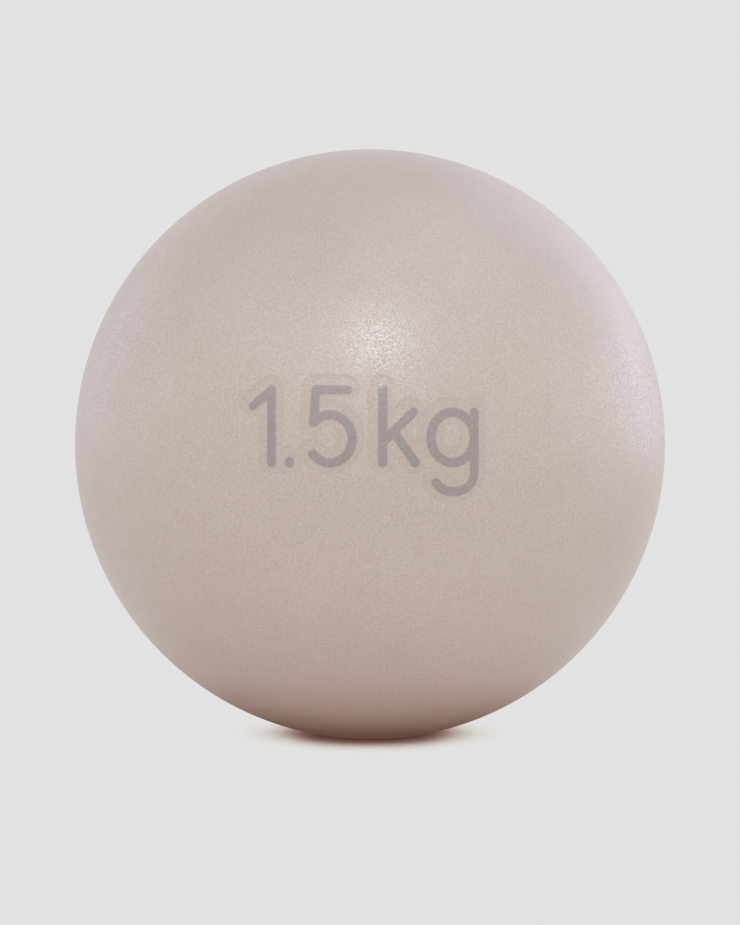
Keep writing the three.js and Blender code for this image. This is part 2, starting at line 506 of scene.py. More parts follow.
# %% Outside of the ball, from the patch to the port
FINE_STEP = 0.4 * MM
WIDE_STEP = 1.6 * MM
STEP_GROWTH = 1.15
MOUTH_RADIUS = FLANGE_RADIUS + FIT_GAP / 2  # of the port, where the flange lies in it
LIP_ROUNDING = 0.4 * MM

lip_radius = MOUTH_RADIUS + 2 * LIP_ROUNDING
outside_end = BALL_RADIUS * (math.pi - math.asin(lip_radius / BALL_RADIUS))
reach = PATCH_REACH
step = FINE_STEP
count = 4 * PATCH_CELLS
while reach + step < outside_end:
    reach += step
    if step == WIDE_STEP and count > 2 * PATCH_CELLS:
        count //= 2
    angle = reach / BALL_RADIUS
    skin_blank.rings([(BALL_RADIUS * math.sin(angle), -BALL_RADIUS * math.cos(angle))], count)
    step = min(step * STEP_GROWTH, WIDE_STEP)
print("outside: up to", round(reach / MM, 1), "mm from the front, in rings of", count, "points")

# %% Port and collar
FLANGE_THICKNESS = 2 * MM
BARREL_RADIUS = 5.5 * MM
BARB_LENGTH = 4 * MM
PORT_RADIUS = BARREL_RADIUS + FIT_GAP
COLLAR_RADIUS = FLANGE_RADIUS + FIT_GAP + 1 * MM
COLLAR_ROUNDING = 1 * MM
COLLAR_FLARE = 2.5 * MM
HOLLOW_RADIUS = BALL_RADIUS - SKIN_WALL

flange_underside = on_sphere(FLANGE_RADIUS) - FLANGE_THICKNESS
mouth_floor = flange_underside - FIT_GAP
collar_end = seat_low.y + BARB_LENGTH + FIT_GAP
flare_radius = COLLAR_RADIUS + COLLAR_FLARE

port_profile = rounded([
    (lip_radius, on_sphere(lip_radius), 0),
    (MOUTH_RADIUS, on_sphere(MOUTH_RADIUS), LIP_ROUNDING),
    (MOUTH_RADIUS, mouth_floor, 0.2 * MM),
    (PORT_RADIUS, mouth_floor, 0.3 * MM),
    (PORT_RADIUS, collar_end, 0.5 * MM),
    (COLLAR_RADIUS, collar_end, COLLAR_ROUNDING),
    (COLLAR_RADIUS, on_sphere(COLLAR_RADIUS, HOLLOW_RADIUS), COLLAR_FLARE),
    (flare_radius, on_sphere(flare_radius, HOLLOW_RADIUS), 0),
])
skin_blank.rings(port_profile[:1], count)
skin_blank.rings(port_profile[1:], PATCH_CELLS)
outside_points = len(skin_blank.points)
print("port and collar:", len(port_profile), "rings")

# %% Hollow
HOLLOW_RINGS = 36

first_angle = math.asin(flare_radius / HOLLOW_RADIUS)
hollow_angles = np.linspace(first_angle, math.pi, HOLLOW_RINGS)[1:-1]
hollow = [(HOLLOW_RADIUS * math.sin(angle), HOLLOW_RADIUS * math.cos(angle)) for angle in hollow_angles]
skin_blank.rings(hollow, PATCH_CELLS)
close_pole(skin_blank, -HOLLOW_RADIUS)

skin = new_piece("skin", skin_blank.points, skin_blank.faces)
rest_level = np.zeros(len(skin_blank.points), dtype=np.float32)
rest_level[outside_points:] = SKIN_WALL
skin.data.attributes.new("rest_level", "FLOAT", "POINT").data.foreach_set("value", rest_level)
print("skin blank:", count_triangles(skin), "triangles")

# %% [markdown]
# ## The weight mark
# The mark says what the ball weighs. It is printed with a flat pad, in round-ended strokes of one width.
# A font could supply the figures, but an even margin round them is easier to measure from bare strokes. So
# each figure is drawn as a skeleton of strokes and laid straight on the front, which is turned up a little.

# %% Strokes of the figures
MARK_HEIGHT = 15.4 * MM
LOWER_CASE = 11.2 * MM
CURVE_POINTS = 24

top = MARK_HEIGHT - STROKE_WIDTH / 2
bottom = STROKE_WIDTH / 2
lower_top = LOWER_CASE - STROKE_WIDTH / 2
bowl_height = (lower_top - bottom) / 2


def bow(middle, half_width, half_height, start, end):
    """Part of an oval, from one angle to another in degrees."""
    turns = np.radians(np.linspace(start, end, CURVE_POINTS))
    return [(middle[0] + half_width * math.cos(t), middle[1] + half_height * math.sin(t)) for t in turns]


one = [[(0, top - 2.9 * MM), (3.5 * MM, top), (3.5 * MM, bottom)]]
point = [[(0, bottom), (0, bottom + 0.3 * MM)]]
five_bowl = bow((4.2 * MM, bottom + 4.5 * MM), 4.2 * MM, 4.5 * MM, 136, -140)
five = [[(7.5 * MM, top), (1.55 * MM, top), *five_bowl]]
letter_k = [
    [(0, bottom), (0, top)],
    [(5.7 * MM, lower_top), (0, bottom + 3.9 * MM)],
    [(2.0 * MM, bottom + 5.8 * MM), (6.1 * MM, bottom)],
]
tail = bow((4.3 * MM, -1.1 * MM), 3.9 * MM, 3.5 * MM, 0, -150)
letter_g = [
    bow((4.1 * MM, bottom + bowl_height), 4.1 * MM, bowl_height, 0, 360),
    [(8.2 * MM, lower_top), *tail],
]
figures_and_gaps = [(one, 3.4), (point, 3.4), (five, 5.7), (letter_k, 2.9), (letter_g, 0)]

strokes = []
left = 0.0
for figure, gap in figures_and_gaps:
    strokes += [[(across + left, up) for across, up in stroke] for stroke in figure]
    left = max(across for stroke in strokes for across, up in stroke) + gap * MM
mark_width = left
print("mark:", len(strokes), "strokes,", round((mark_width + STROKE_WIDTH) / MM, 1), "mm wide")

# %% The strokes as a skeleton on the ball
MARK_MIDDLE = -1.2 * MM  # across the front
MARK_BASE = -4.6 * MM  # above the middle of the tilted front
MARK_TILT = math.radians(3.3)  # the ball lies with its mark turned up a little
STROKE_STEP = 0.8 * MM


def on_front(across, up):
    """The place where a flat pad, pressed straight on to the tilted front, prints a point of the mark."""
    right = across - mark_width / 2 + MARK_MIDDLE
    height = up + MARK_BASE
    depth = math.sqrt(BALL_RADIUS**2 - right**2 - height**2)
    return CENTRE + Matrix.Rotation(-MARK_TILT, 3, "X") @ Vector((right, -depth, height))


skeleton_points = []
skeleton_edges = []
for stroke in strokes:
    for start, end in zip(stroke, stroke[1:]):
        pieces = max(1, math.ceil(math.dist(start, end) / STROKE_STEP))
        for number, share in enumerate(np.linspace(0, 1, pieces + 1)):
            place = [first + (last - first) * share for first, last in zip(start, end)]
            skeleton_points.append(on_front(*place))
            if number:
                skeleton_edges.append((len(skeleton_points) - 2, len(skeleton_points) - 1))
skeleton = new_piece("mark_skeleton", skeleton_points, [], skeleton_edges)
print("skeleton:", len(skeleton_edges), "edges")

# %% [markdown]
# ## Settling the skin and sinking the mark
# Two rules give the blank its final form. Its weight presses the skin flat where it stands: no point of the
# outside can lie below the floor, and none of the inside below the wall's thickness. And near the strokes
# the skin sinks into a shallow recess with an even margin, from which the strokes rise again.
# Sculpting would do it once, but a geometry tree can be run again with other sizes.

# %% Geometry tree: measure the mark
tree, skin_in, skin_out = new_tree(
    "settle_and_mark",
    "GeometryNodeTree",
    {
        "Geometry": "Geometry",
        "Skeleton": "Object",
        "Centre": "Vector",
        "Foot softness": "Float",
        "Stroke width": "Float",
        "Stroke edge": "Float",
        "Stroke height": "Float",
        "Recess shift": "Vector",
        "Recess margin": "Float",
        "Recess edge": "Float",
        "Recess depth": "Float",
        "Finish": "Material",
    },
    {"Geometry": "Geometry"},
)
place = add_node(tree, "GeometryNodeInputPosition")[0]
level = attribute(tree, "rest_level")
mark_object = add_node(tree, "GeometryNodeObjectInfo", {"Object": skin_in["Skeleton"]})
half_stroke = maths(tree, "MULTIPLY", skin_in["Stroke width"], 0.5)
inner_wall = maths(tree, "GREATER_THAN", level, 0.0)  # counts the inside as a metre further away
wall_or_stroke = maths(tree, "SUBTRACT", inner_wall, half_stroke)


def measured(geometry, name, seen_from):
    """Store how far each point of the outside is from the edge of the nearest stroke."""
    inputs = {0: mark_object["Geometry"], "Sample Position": seen_from}
    nearest = add_node(tree, "GeometryNodeProximity", inputs, target_element="EDGES")
    distance = maths(tree, "ADD", nearest["Distance"], wall_or_stroke)
    stored = {"Name": name, "Value": distance}
    return passed(tree, "StoreNamedAttribute", geometry, stored, data_type="FLOAT", domain="POINT")


shifted = vector_maths(tree, "SUBTRACT", {0: place, 1: skin_in["Recess shift"]})[0]
with_strokes = measured(skin_in["Geometry"], "mark_distance", place)
with_recess = measured(with_strokes, "recess_distance", shifted)
print("geometry tree:", tree.name, "measures the distance to the mark's strokes")

# %% Geometry tree: sink and rise
from_stroke = attribute(tree, "mark_distance")
from_recess = attribute(tree, "recess_distance")
recess_end = maths(tree, "ADD", skin_in["Recess margin"], skin_in["Recess edge"])
sink = spread(tree, from_recess, recess_end, skin_in["Recess margin"], 0.0, skin_in["Recess depth"])
stroke_foot = maths(tree, "MULTIPLY", skin_in["Stroke edge"], 0.5)
stroke_shoulder = maths(tree, "MULTIPLY", skin_in["Stroke edge"], -0.5)
stroke_rise = spread(tree, from_stroke, stroke_foot, stroke_shoulder, 0.0, skin_in["Stroke height"])
rise = maths(tree, "SUBTRACT", stroke_rise, sink)
outwards = vector_maths(tree, "SUBTRACT", {0: place, 1: skin_in["Centre"]})[0]
unit = vector_maths(tree, "NORMALIZE", {0: outwards})[0]
lift = vector_maths(tree, "SCALE", {0: unit, "Scale": rise})[0]
marked = passed(tree, "SetPosition", with_recess, {"Offset": lift})
print("geometry tree:", tree.name, "sinks the recess and lets the strokes rise")

# %% Geometry tree: rest on the floor
parts = parts_of(tree, place)
rest_height = maths(tree, "SMOOTH_MAX", parts["Z"], level, skin_in["Foot softness"])
rest_parts = {"X": parts["X"], "Y": parts["Y"], "Z": rest_height}
rest_place = add_node(tree, "CombineXYZ", rest_parts)[0]
settled = passed(tree, "SetPosition", marked, {"Position": rest_place})
smooth = passed(tree, "SetShadeSmooth", settled)
real = passed(tree, "RealizeInstances", smooth)
dressed = passed(tree, "SetMaterial", real, {"Material": skin_in["Finish"]})
tree.links.new(dressed, skin_out["Geometry"])
print("geometry tree:", len(tree.nodes), "nodes")

# %% Run the tree on the skin
run_tree(skin, tree, {
    "Skeleton": skeleton,
    "Centre": CENTRE,
    "Foot softness": 0.6 * MM,
    "Stroke width": STROKE_WIDTH,
    "Stroke edge": 0.4 * MM,
    "Stroke height": 0.06 * MM,
    "Recess shift": (-0.3 * MM, 0.0, 0.35 * MM),
    "Recess margin": RECESS_MARGIN,
    "Recess edge": RECESS_EDGE,
    "Recess depth": 0.06 * MM,
    "Finish": skin_material,
})
bpy.data.objects.remove(skeleton)
skin.data.set_sharp_from_angle(angle=math.radians(50))
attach(skin, "ball")
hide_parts("shell")
print("skin:", count_triangles(skin), "triangles")

# %% [markdown]
# ## The valve's finishes
# Seat and plug are moulded in the same vinyl from polished tools, so their grain is finer and they shine a
# little more. The seat is one tone deeper than the skin and the plug two, so that the valve can be found.
# Both follow one recipe with their own colours and gloss, so one function makes them.

# %% Materials: seat and plug
VALVE_GRAIN = 0.35 * MM
VALVE_CLOUDS = 3 * MM
VALVE_RELIEF = 0.01 * MM


def valve_material(name, pale, deep, low_roughness, high_roughness):
    material, tree = new_material(name)
    grain_height, grain_clouds = grain_of(tree, VALVE_GRAIN, VALVE_CLOUDS)
    tone = maths(tree, "MULTIPLY_ADD", grain_height, 0.6, maths(tree, "MULTIPLY", grain_clouds, 0.4))
    finish_material(tree, {
        "Base Color": blended(tree, tone, linear(*pale), linear(*deep)),
        "Roughness": spread(tree, grain_height, 0.0, 1.0, low_roughness, high_roughness),
        "Normal": bumped(tree, grain_height, VALVE_RELIEF),
        "Subsurface Weight": 0.1,
        "Subsurface Radius": VINYL_DEPTHS,
        "Subsurface Scale": 1.5 * MM,
    })
    return material


def dress_valve(piece, material):
    """Give a piece of the valve its finish, smooth but for its sharp edges."""
    piece.data.materials.clear()
    piece.data.materials.append(material)
    piece.data.shade_smooth()
    piece.data.set_sharp_from_angle(angle=math.radians(40))


seat_material = valve_material("seat_vinyl", (192, 175, 167), (176, 159, 151), 0.32, 0.38)
plug_material = valve_material("plug_vinyl", (172, 156, 150), (157, 142, 136), 0.28, 0.34)

# %% [markdown]
# ## The valve seat
# The seat is pushed into the ball from outside: a domed flange that lies flush with the skin, a barrel
# through the port and a barb that snaps in behind the collar. A notch in the flange lets a fingernail under
# the plug. The body is one turned profile with rounded corners. The notch doesn't go all the way round, so
# a Boolean cuts it.

# %% Valve seat
VALVE_SEGMENTS = 96
BORE_RADIUS = 3 * MM
BARB_RADIUS = 6.7 * MM
BARB_TIP_RADIUS = 4.4 * MM
BARB_LAND = 1.2 * MM  # the barb's straight stretch
HEAD_THICKNESS = 1 * MM
HEAD_SEAT_RADIUS = HEAD_RADIUS + FIT_GAP / 2
EDGE_ROUNDING = 0.15 * MM
STEP_ROUNDING = 0.25 * MM

seat_end = seat_low.y
barb_top = seat_end + BARB_LENGTH
head_underside = on_sphere(HEAD_RADIUS) - HEAD_THICKNESS
head_seat_floor = head_underside - FIT_GAP

seat_profile = rounded([
    (BORE_RADIUS, seat_end, EDGE_ROUNDING),
    (BARB_TIP_RADIUS, seat_end, 0.4 * MM),
    (BARB_RADIUS, barb_top - BARB_LAND, 0.6 * MM),
    (BARB_RADIUS, barb_top, STEP_ROUNDING),
    (BARREL_RADIUS, barb_top, STEP_ROUNDING),
    (BARREL_RADIUS, flange_underside, STEP_ROUNDING),
    (FLANGE_RADIUS, flange_underside, EDGE_ROUNDING),
    (FLANGE_RADIUS, on_sphere(FLANGE_RADIUS), 0.4 * MM),
    *dome(FLANGE_RADIUS - 0.6 * MM, HEAD_SEAT_RADIUS + 0.4 * MM, 8),
    (HEAD_SEAT_RADIUS, on_sphere(HEAD_SEAT_RADIUS), 0.2 * MM),
    (HEAD_SEAT_RADIUS, head_seat_floor, EDGE_ROUNDING),
    (BORE_RADIUS, head_seat_floor, EDGE_ROUNDING),
])
seat_shape = Turning()
seat_shape.rings(seat_profile, VALVE_SEGMENTS)
seat_shape.join(list(range(VALVE_SEGMENTS)))
valve_seat = new_piece("seat", seat_shape.points, seat_shape.faces)
print("valve seat:", len(seat_profile), "rings of", VALVE_SEGMENTS, "points")

# %% Fingernail notch in the seat
NOTCH_SEGMENTS = 48
NOTCH_RADIUS = 2 * MM


def cut_away(piece, cutter):
    """Take the space of one closed mesh out of another, and drop the cutter."""
    cut = piece.modifiers.new("cut", "BOOLEAN")
    cut.operation = "DIFFERENCE"
    cut.solver = "EXACT"
    cut.object = cutter
    apply_modifiers(piece)
    bpy.data.objects.remove(cutter)


notch_top = BALL_RADIUS + 1 * MM
notch_profile = [
    (NOTCH_RADIUS - 0.3 * MM, head_seat_floor),
    (NOTCH_RADIUS - 0.1 * MM, head_seat_floor + 0.1 * MM),
    (NOTCH_RADIUS, head_seat_floor + 0.3 * MM),
    (NOTCH_RADIUS, notch_top),
]
notch_cutter = closed_body("notch_cutter", head_seat_floor, notch_profile, notch_top, NOTCH_SEGMENTS)
notch_cutter.data.transform(Matrix.Translation((0, 0, HEAD_SEAT_RADIUS)))
cut_away(valve_seat, notch_cutter)

dress_valve(valve_seat, seat_material)
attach(valve_seat, "ball")
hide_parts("valve_seat")
print("valve seat:", count_triangles(valve_seat), "triangles with its notch")

# %% [markdown]
# ## The valve plug
# The plug closes the bore. Its head is domed to the ball's own curve and sits in the flange, with a dimple
# where the vinyl flowed into the mould. Its shank has three sealing ribs and a tapered tip. A geometry tree
# could add the ribs, but as corners of the turned profile they share its one closed surface.
# The plug rides on its own body, so it can be pulled out along the axis.

# %% Profile of the plug
RIB_COUNT = 3
RIB_HALF_WIDTH = 0.6 * MM
RIB_RADIUS = BORE_RADIUS - FIT_GAP
SHANK_RADIUS = RIB_RADIUS - 0.25 * MM
SHANK_ROUNDING = 0.3 * MM
TIP_RADIUS = 1.6 * MM
TIP_TAPER = 2.5 * MM
GATE_RADIUS = 0.8 * MM  # of the dimple where the vinyl flowed into the mould
GATE_DEPTH = 0.25 * MM
GATE_ROUNDING = 0.1 * MM

gate_floor = BALL_RADIUS - GATE_DEPTH
plug_tip = plug_low.y
taper_end = plug_tip + TIP_TAPER
rib_pitch = (head_underside - taper_end) / (RIB_COUNT + 1)

plug_corners = [(0, plug_tip, 0), (TIP_RADIUS, plug_tip, 0.5 * MM), (SHANK_RADIUS, taper_end, 1.0 * MM)]
for rib in range(1, RIB_COUNT + 1):
    middle = taper_end + rib * rib_pitch
    plug_corners.append((SHANK_RADIUS, middle - RIB_HALF_WIDTH, SHANK_ROUNDING))
    plug_corners.append((RIB_RADIUS, middle, 0.35 * MM))
    plug_corners.append((SHANK_RADIUS, middle + RIB_HALF_WIDTH, SHANK_ROUNDING))
plug_corners += [
    (SHANK_RADIUS, head_underside, SHANK_ROUNDING),
    (HEAD_RADIUS, head_underside, EDGE_ROUNDING),
    (HEAD_RADIUS, on_sphere(HEAD_RADIUS), 0.3 * MM),
    *dome(HEAD_RADIUS - 0.5 * MM, GATE_RADIUS + 0.5 * MM, 6),
    (GATE_RADIUS + 0.2 * MM, on_sphere(GATE_RADIUS), GATE_ROUNDING),
    (GATE_RADIUS - 0.1 * MM, gate_floor, GATE_ROUNDING),
    (GATE_RADIUS / 2, gate_floor, 0),
]
plug_profile = rounded(plug_corners)[1:]
print("plug profile:", len(plug_profile), "points, ribs", round(rib_pitch / MM, 2), "mm apart")

# %% Valve plug
valve_plug = closed_body("plug", plug_tip, plug_profile, gate_floor, VALVE_SEGMENTS)
dress_valve(valve_plug, plug_material)
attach(valve_plug, "plug")
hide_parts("valve_plug")
print("valve plug:", count_triangles(valve_plug), "triangles")

# %% [markdown]
# ## Iron sand
# The weight is loose iron sand: dark, rusty in places, with a dull metal glint on single grains. A noise
# alone would look like paint, so each grain on the heap's top carries a random tone as an attribute.

# %% Material: iron sand
SAND_DARK = linear(52, 48, 46)
SAND_PALE = linear(96, 90, 86)
SAND_RUST = linear(92, 66, 50)
SPECKLE_SIZE = 0.9 * MM
RUST_SIZE = 9 * MM

sand_material, tree = new_material("iron_sand_grains")
sand_place = object_place(tree)
speckle = add_node(tree, "TexVoronoi", {"Vector": sand_place, "Scale": 1 / SPECKLE_SIZE})
rust = add_node(tree, "TexNoise", {"Vector": sand_place, "Scale": 1 / RUST_SIZE, "Detail": 4.0})
rust_mask = spread(tree, rust[0], 0.45, 0.7)
speckle_tone = add_node(tree, "SeparateColor", {"Color": speckle["Color"]})[0]
mixed_tone = maths(tree, "MULTIPLY_ADD", speckle_tone, 0.5, attribute(tree, "grain_tone"))
bare_sand = blended(tree, mixed_tone, SAND_DARK, SAND_PALE)
finish_material(tree, {
    "Base Color": blended(tree, rust_mask, bare_sand, SAND_RUST),
    "Metallic": 0.35,
    "Roughness": spread(tree, mixed_tone, 0.0, 1.5, 0.5, 0.75),
    "Normal": bumped(tree, speckle["Distance"], 0.4 * MM, strength=0.6),
})
print("iron sand: speckles of", SPECKLE_SIZE / MM, "mm, patches of rust of", RUST_SIZE / MM, "mm")

# %% [markdown]
# ## The sand filling
# The sand lies in the hollow like water, with an uneven top, and leaves room for the valve. Its body is
# turned about the valve's axis, so it can roll round inside the skin without touching it. A Boolean takes
# away the air above its wavy level. Thousands of grains can't be placed by hand, so a geometry tree scatters
# them over that top.

# %% Body of the sand
SAND_SEGMENTS = 96
SAND_RINGS = 40

sand_radius = (sand_high.x - sand_low.x) / 2
belt_distance = CENTRE.z - sand_low.z
pocket_radius = flare_radius + FIT_GAP
pocket_floor = plug_tip - FIT_GAP

front_angle = math.pi - math.asin(pocket_radius / sand_radius)
sand_profile = []
for angle in np.linspace(0, front_angle, SAND_RINGS)[1:]:
    distance = min(sand_radius * math.sin(angle), belt_distance)
    sand_profile.append((distance, -sand_radius * math.cos(angle)))
sand_profile.append((pocket_radius, pocket_floor))
sand = closed_body("sand", -sand_radius, sand_profile, pocket_floor, SAND_SEGMENTS)
print("sand: turned body of", count_triangles(sand), "triangles")

# %% Air above the sand
LEVEL_CELLS = 48
LEVEL_WAVES = 0.5 * MM
AIR_HALF = 1.1 * BALL_RADIUS

sand_level = sand_high.z - 1.5 * MM  # the middle of the waves


def sand_wave(x, y):
    """Waves of three lengths that don't fall into step."""
    return math.sin(x / (9 * MM) + 1.3 * math.sin(y / (14 * MM))) + math.sin(y / (7 * MM) + 0.8)


level_steps = np.linspace(-AIR_HALF, AIR_HALF, LEVEL_CELLS + 1)
air_points = [(x, y, sand_level + LEVEL_WAVES * sand_wave(x, y)) for y in level_steps for x in level_steps]
roof = len(air_points)
air_points += [(x, y, sand_level + BALL_RADIUS) for x, y, z in air_points]

air_grid = np.arange(roof).reshape(LEVEL_CELLS + 1, LEVEL_CELLS + 1)
air_faces = []
for below, above in zip(grid_faces(air_grid.tolist()), grid_faces((air_grid + roof).tolist())):
    air_faces.append((below[0], below[3], below[2], below[1]))  # the other way round, to face down
    air_faces.append(above)
rim = grid_outline(air_grid.tolist())
for here, ahead in zip(rim, rim[1:] + rim[:1]):
    air_faces.append((here, ahead, ahead + roof, here + roof))
cut_away(sand, new_piece("air", air_points, air_faces))
print("sand: body with a wavy top,", count_triangles(sand), "triangles")

# %% Geometry tree: where grains may lie
tree, sand_in, sand_out = new_tree(
    "scattered_grains",
    "GeometryNodeTree",
    {
        "Geometry": "Geometry",
        "Level": "Float",
        "Keep within": "Float",
        "Grain radius": "Float",
        "Grains per area": "Float",
        "Seed": "Int",
        "Finish": "Material",
    },
    {"Geometry": "Geometry"},
)
facing = add_node(tree, "GeometryNodeInputNormal")[0]
parts = parts_of(tree, add_node(tree, "GeometryNodeInputPosition")[0])
across_squared = maths(tree, "MULTIPLY", parts["X"], parts["X"])
distance_squared = maths(tree, "MULTIPLY_ADD", parts["Y"], parts["Y"], across_squared)
from_middle = maths(tree, "SQRT", distance_squared)
on_top = maths(tree, "GREATER_THAN", parts_of(tree, facing)["Z"], 0.5)
high_up = maths(tree, "GREATER_THAN", parts["Z"], sand_in["Level"])
off_rim = maths(tree, "LESS_THAN", from_middle, sand_in["Keep within"])
top_faces = maths(tree, "MULTIPLY", maths(tree, "MULTIPLY", on_top, high_up), off_rim)
print("geometry tree:", tree.name, "finds the top of the sand")

# %% Geometry tree: scattered grains
FULL_TURN = 6.28
SMALLEST_GRAIN = (0.6, 0.5, 0.45)  # shares of the grain's radius, along its own axes
LARGEST_GRAIN = (1.3, 1.1, 1.0)


def random_vector(low, high):
    """Another vector between two limits for each grain."""
    limits = {0: low, 1: high, "Seed": sand_in["Seed"]}
    return add_node(tree, "FunctionNodeRandomValue", limits, data_type="FLOAT_VECTOR")[0]


scatter = add_node(tree, "GeometryNodeDistributePointsOnFaces", {
    "Mesh": sand_in["Geometry"],
    "Selection": top_faces,
    "Density": sand_in["Grains per area"],
    "Seed": sand_in["Seed"],
})
grain_sizes = {"Radius": sand_in["Grain radius"], "Subdivisions": 1}
grains = add_node(tree, "GeometryNodeInstanceOnPoints", {
    "Points": scatter["Points"],
    "Instance": add_node(tree, "GeometryNodeMeshIcoSphere", grain_sizes)["Mesh"],
    "Rotation": random_vector((0.0, 0.0, 0.0), (FULL_TURN, FULL_TURN, FULL_TURN)),
    "Scale": random_vector(SMALLEST_GRAIN, LARGEST_GRAIN),
})[0]
print("geometry tree:", tree.name, "scatters its grains")

# %% Geometry tree: tones and finish of the grains
tones = add_node(tree, "FunctionNodeRandomValue", {2: 0.0, 3: 1.0, "Seed": sand_in["Seed"]})
stored = {"Name": "grain_tone", "Value": tones[1]}
toned = passed(tree, "StoreNamedAttribute", grains, stored, data_type="FLOAT", domain="INSTANCE")
real_grains = passed(tree, "RealizeInstances", toned)
heap = add_node(tree, "GeometryNodeJoinGeometry")[0]
tree.links.new(sand_in["Geometry"], heap.node.inputs[0])
tree.links.new(real_grains, heap.node.inputs[0])
smooth_heap = passed(tree, "SetShadeSmooth", heap)
dressed_heap = passed(tree, "SetMaterial", smooth_heap, {"Material": sand_in["Finish"]})
tree.links.new(dressed_heap, sand_out["Geometry"])
print("geometry tree:", len(tree.nodes), "nodes")

# %% Run the tree on the sand
run_tree(sand, tree, {
    "Level": sand_level - 2 * MM,
    "Keep within": sand_radius - 5 * MM,
    "Grain radius": 0.7 * MM,
    "Grains per area": 0.4 / MM**2,
    "Seed": 7,
    "Finish": sand_material,
})
sand.data.set_sharp_from_angle(angle=math.radians(45))
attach(sand, "filling")
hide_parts("sand_filling")
print("sand:", count_triangles(sand), "triangles with its grains")

# %% [markdown]
# ## The camera
# The photograph is taken from a little above the ball's middle, with a long lens, so that a sphere keeps a
# round outline. The ball's radius and middle in pixels give the distance and the aim. A ball looks the
# same from any height, so the camera's own is read from how flat the shadow lies on the floor.

# %% Camera
IMAGE_HEIGHT = 925
BALL_PIXELS = 295.0  # the ball's radius in the picture
RAISED_PIXELS = 18.1  # its middle, above the middle of the picture
LENS = 135.0
SENSOR = 36.0
CAMERA_ELEVATION = math.radians(3.3)

focal_pixels = LENS / SENSOR * IMAGE_HEIGHT
camera_distance = BALL_RADIUS / math.sin(math.atan(BALL_PIXELS / focal_pixels))
to_camera = Vector((0, -math.cos(CAMERA_ELEVATION), math.sin(CAMERA_ELEVATION)))
camera_up = Vector((0, math.sin(CAMERA_ELEVATION), math.cos(CAMERA_ELEVATION)))
aim = CENTRE - camera_up * (RAISED_PIXELS * camera_distance / focal_pixels)

camera_data = bpy.data.cameras.new("camera")
camera_data.lens = LENS
camera_data.sensor_fit = "VERTICAL"
camera_data.sensor_height = SENSOR
camera_data.clip_start = 0.01
camera = new_object("camera", camera_data)
camera.location = aim + to_camera * camera_distance
camera.rotation_euler = (-to_camera).to_track_quat("-Z", "Y").to_euler()
bpy.context.scene.camera = camera
print("camera:", round(camera_distance, 3), "m from the ball's middle")

# %% [markdown]
# ## The stage
# The background is one even pale grey, with only a small reddish shadow where the ball meets the floor.
# A lit floor would show the lamps' own pools of light, so the camera sees one grey, which darkens where
# the ball shuts a spot in, and less so at both sides, where the side lamps reach. Light itself meets a pale
# floor with light and shade painted under the ball: a warmer, darker tone, and a dull red glow at the foot
# that stands in for light thrown back and forth between vinyl and floor. Reflections see the grey on the
# open floor and the lit floor near the ball, so that the underside stays dark.

# %% Floor: what the camera sees
BACKDROP = linear(226, 226, 226)
SHADOW_REACH = 6.4 * MM  # how near the ball's underside has to be to darken the floor
SHADOW_TONES = {  # by the square root of the openness
    0.2: linear(80, 47, 41),
    0.27: linear(116, 87, 79),
    0.33: linear(144, 117, 108),
    0.4: linear(170, 149, 140),
    0.5: linear(196, 184, 176),
    0.6: linear(211, 205, 199),
    0.78: linear(222, 220, 216),
    1.0: BACKDROP,
}
SIDE_LIGHT = 1.4  # how much more open the floor is at both sides, where the side softboxes reach
SIDE_START = 9 * MM
SIDE_END = 19 * MM

floor_material, tree = new_material("pale_floor")
floor_place = object_place(tree)


def openness_within(reach, samples):
    return add_node(tree, "AmbientOcclusion", {"Distance": reach}, samples=samples)["AO"]


openness = openness_within(SHADOW_REACH, 16)
sideways = maths(tree, "ABSOLUTE", parts_of(tree, floor_place)["X"])
side_light = spread(tree, sideways, SIDE_START, SIDE_END, 1.0, SIDE_LIGHT)
side_openness = maths(tree, "MULTIPLY", openness, side_light)
shadow_colour = add_node(tree, "ValToRGB", {"Fac": maths(tree, "SQRT", side_openness)})["Color"]
stops = shadow_colour.node.color_ramp.elements
stops.remove(stops[1])
for number, (position, tone) in enumerate(SHADOW_TONES.items()):
    stop = stops.new(position) if number else stops[0]
    stop.position = position
    stop.color = tone
seen_floor = add_node(tree, "Emission", {"Color": shadow_colour})
print("floor: a shadow of", len(stops), "tones")

# %% Floor: what the light meets
FLOOR_PALE = linear(246, 240, 234)
# painted light and shade: the floor turns a warmer, darker tone where the ball shuts it in
FLOOR_PAINTED_BOUNCE = linear(232, 206, 192)
PAINTED_BOUNCE_REACH = 14 * MM
# painted light: the floor glows dull red at the foot, standing in for light thrown between vinyl and floor
PAINTED_CONTACT_GLOW = (0.11, 0.055, 0.04, 1.0)

painted_bounce_mask = spread(tree, openness_within(PAINTED_BOUNCE_REACH, 4), 0.3, 1.0)
painted_bounce_floor = blended(tree, painted_bounce_mask, FLOOR_PAINTED_BOUNCE, FLOOR_PALE)
bare_floor = add_node(tree, "BsdfDiffuse", {"Color": painted_bounce_floor})
# painted glow: an emission on the floor, strongest where the floor is least open
painted_glow_mask = spread(tree, openness, 0.0, 0.2, 1.0, 0.0)
painted_glow_shader = add_node(tree, "Emission", {"Color": PAINTED_CONTACT_GLOW, "Strength": painted_glow_mask})
lit_floor = add_node(tree, "AddShader", {0: bare_floor[0], 1: painted_glow_shader[0]})
print("floor: a blush that reaches", round(PAINTED_BOUNCE_REACH / MM), "mm")

# %% Floor: which ray sees which
FLOOR_HALF = 3.0
FLOOR_DROP = 0.05 * MM  # keeps the floor's face clear of the foot's


